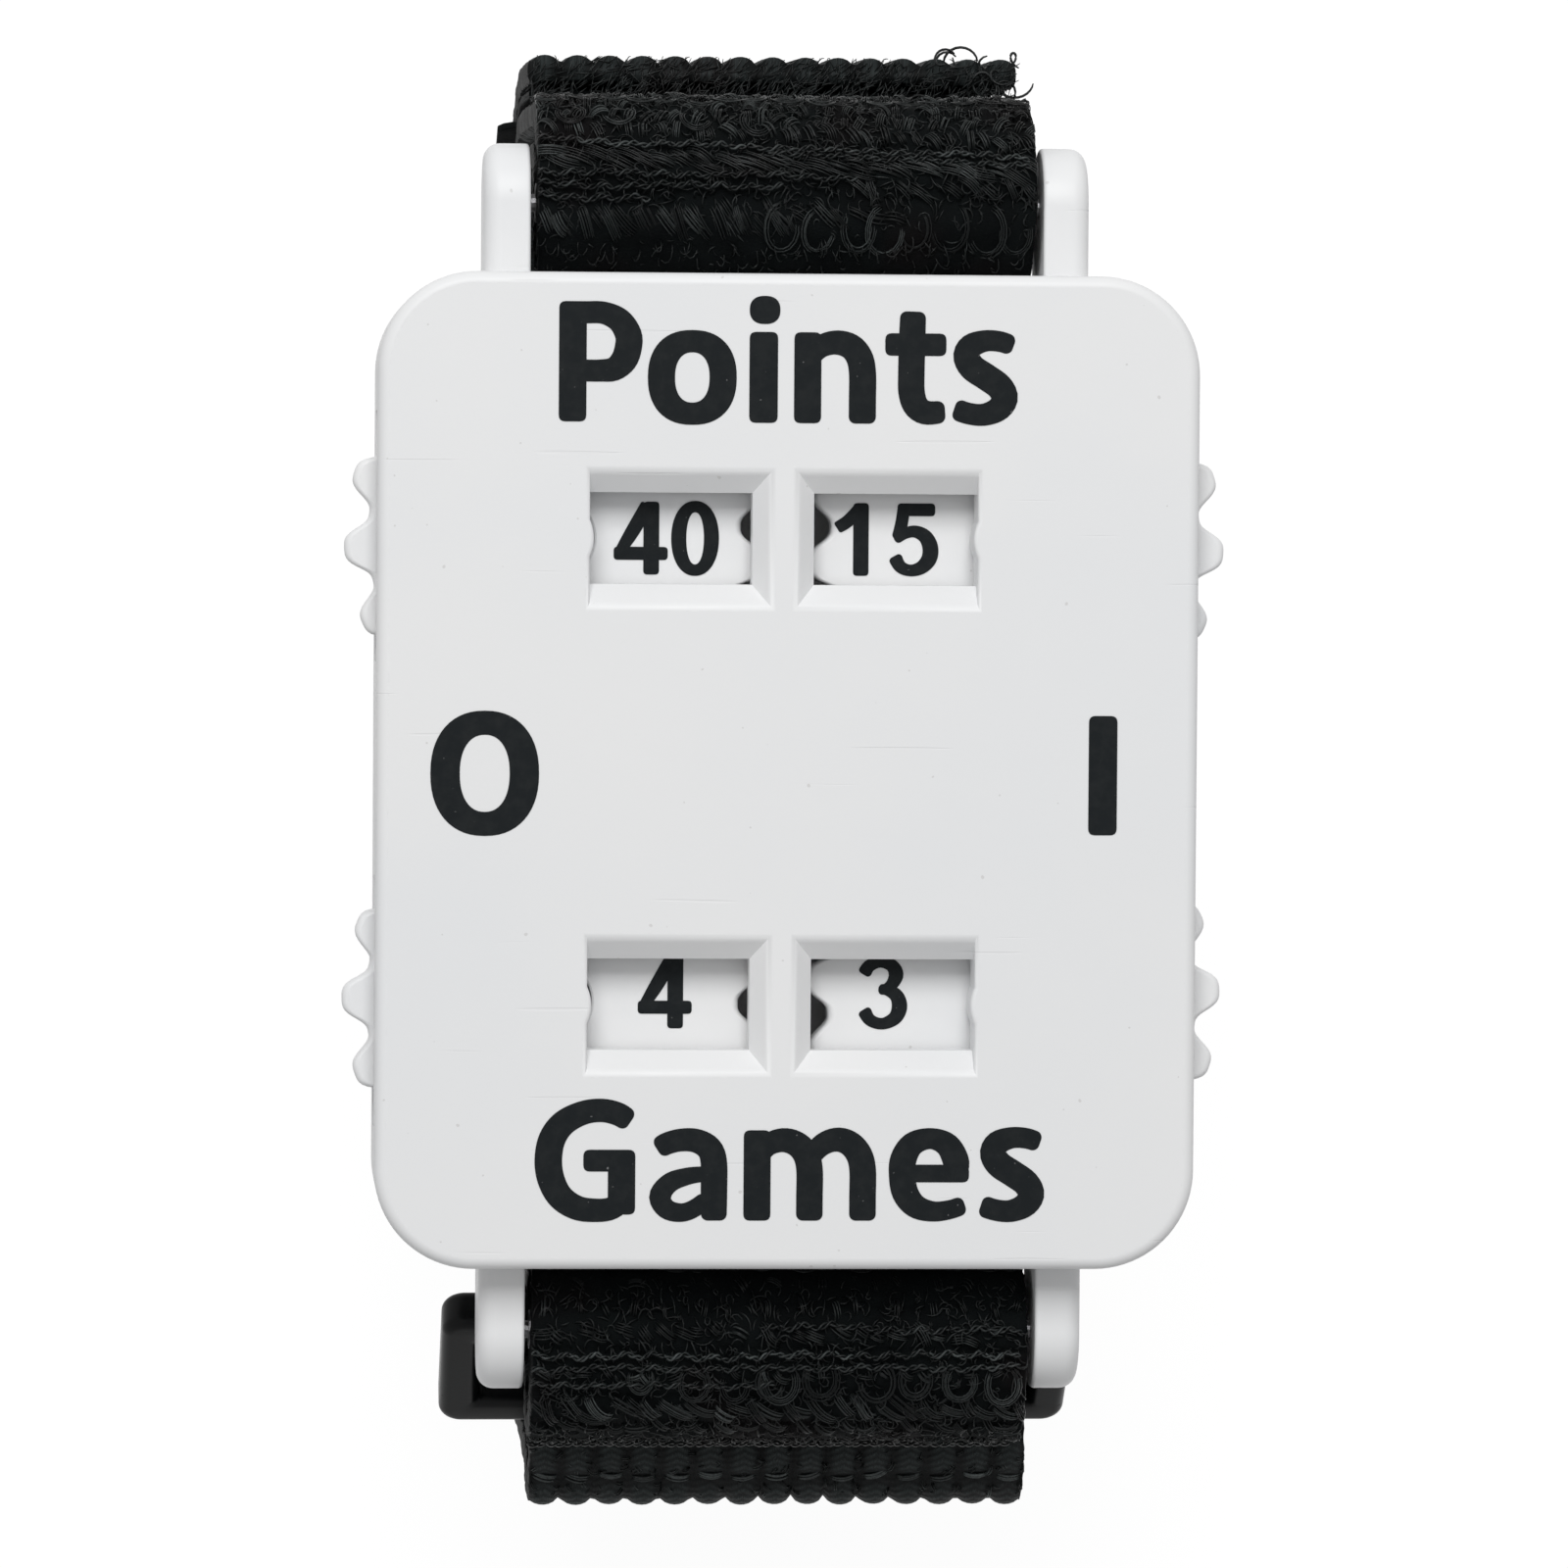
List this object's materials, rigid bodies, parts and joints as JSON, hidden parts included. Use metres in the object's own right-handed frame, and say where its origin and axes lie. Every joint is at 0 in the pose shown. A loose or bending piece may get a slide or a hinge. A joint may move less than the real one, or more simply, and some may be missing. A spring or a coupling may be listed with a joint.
{
  "type": "wrist score counter",
  "caption": "Wrist-worn score counter: white case with bevelled number windows, toothed thumb dials under a cover, spring bars and a black hook and loop strap closed through a ring.",
  "frame": {"origin": "middle of the flat under the closed strap, which the part stands on", "axes": "+X across the strap to the wearer's own side of the case, +Y along the strap towards the points windows, +Z out of the case's front"},
  "size_m": [0.0445, 0.0759, 0.0504],
  "materials": {
    "white_plastic": "fine moulded satin",
    "dial_plastic": "smooth satin with black printed numbers",
    "loop_webbing": "black woven loop pile",
    "hook_tape": "black hook tape",
    "ring_plastic": "moulded gloss",
    "spring_steel": "drawn",
    "plated_steel": "bright plated"
  },
  "bodies": {
    "case": {"front_cover": "white_plastic", "rear_case": "white_plastic", "opponent_points_click_spring": "spring_steel", "opponent_points_screw": "plated_steel", "own_points_click_spring": "spring_steel", "own_points_screw": "plated_steel", "opponent_games_click_spring": "spring_steel", "opponent_games_screw": "plated_steel", "own_games_click_spring": "spring_steel", "own_games_screw": "plated_steel", "top_bar_coil": "plated_steel", "bottom_bar_coil": "plated_steel", "long_strap": "loop_webbing", "ring_strap": "loop_webbing", "hook_patch": "hook_tape"},
    "opponent_points_dial": {"opponent_points_dial": "dial_plastic"},
    "own_points_dial": {"own_points_dial": "dial_plastic"},
    "opponent_games_dial": {"opponent_games_dial": "dial_plastic"},
    "own_games_dial": {"own_games_dial": "dial_plastic"},
    "top_bar_tube": {"top_bar_tube": "spring_steel"},
    "top_bar_left_tip": {"top_bar_left_tip": "plated_steel"},
    "top_bar_right_tip": {"top_bar_right_tip": "plated_steel"},
    "bottom_bar_tube": {"bottom_bar_tube": "spring_steel"},
    "bottom_bar_left_tip": {"bottom_bar_left_tip": "plated_steel"},
    "bottom_bar_right_tip": {"bottom_bar_right_tip": "plated_steel"},
    "strap_ring": {"strap_ring": "ring_plastic"}
  },
  "joints": [
    {"name": "opponent_points_turn", "type": "hinge", "parent": "case", "child": "opponent_points_dial", "pos_m": [-0.01166, 0.0117, 0.0459], "axis": [0, 0, 1], "continuous": true},
    {"name": "own_points_turn", "type": "hinge", "parent": "case", "child": "own_points_dial", "pos_m": [0.01166, 0.0117, 0.0459], "axis": [0, 0, 1], "continuous": true},
    {"name": "opponent_games_turn", "type": "hinge", "parent": "case", "child": "opponent_games_dial", "pos_m": [-0.01166, -0.0117, 0.0459], "axis": [0, 0, 1], "continuous": true},
    {"name": "own_games_turn", "type": "hinge", "parent": "case", "child": "own_games_dial", "pos_m": [0.01166, -0.0117, 0.0459], "axis": [0, 0, 1], "continuous": true},
    {"name": "top_bar_spin", "type": "hinge", "parent": "case", "child": "top_bar_tube", "pos_m": [0, 0.0286, 0.0444], "axis": [1, 0, 0], "continuous": true},
    {"name": "top_bar_left_tip_press", "type": "slide", "parent": "case", "child": "top_bar_left_tip", "axis": [1, 0, 0], "range_m": [0, 0.0012], "stiffness_N_per_m": 400, "springref_m": -0.001},
    {"name": "top_bar_right_tip_press", "type": "slide", "parent": "case", "child": "top_bar_right_tip", "axis": [-1, 0, 0], "range_m": [0, 0.0012], "stiffness_N_per_m": 400, "springref_m": -0.001},
    {"name": "bottom_bar_spin", "type": "hinge", "parent": "case", "child": "bottom_bar_tube", "pos_m": [0, -0.0286, 0.0444], "axis": [1, 0, 0], "continuous": true},
    {"name": "bottom_bar_left_tip_press", "type": "slide", "parent": "case", "child": "bottom_bar_left_tip", "axis": [1, 0, 0], "range_m": [0, 0.0012], "stiffness_N_per_m": 400, "springref_m": -0.001},
    {"name": "bottom_bar_right_tip_press", "type": "slide", "parent": "case", "child": "bottom_bar_right_tip", "axis": [-1, 0, 0], "range_m": [0, 0.0012], "stiffness_N_per_m": 400, "springref_m": -0.001},
    {"name": "ring_rock", "type": "hinge", "parent": "case", "child": "strap_ring", "pos_m": [0, -0.0286, 0.0384], "axis": [1, 0, 0], "range_deg": [-2.5, 2.5]}
  ]
}
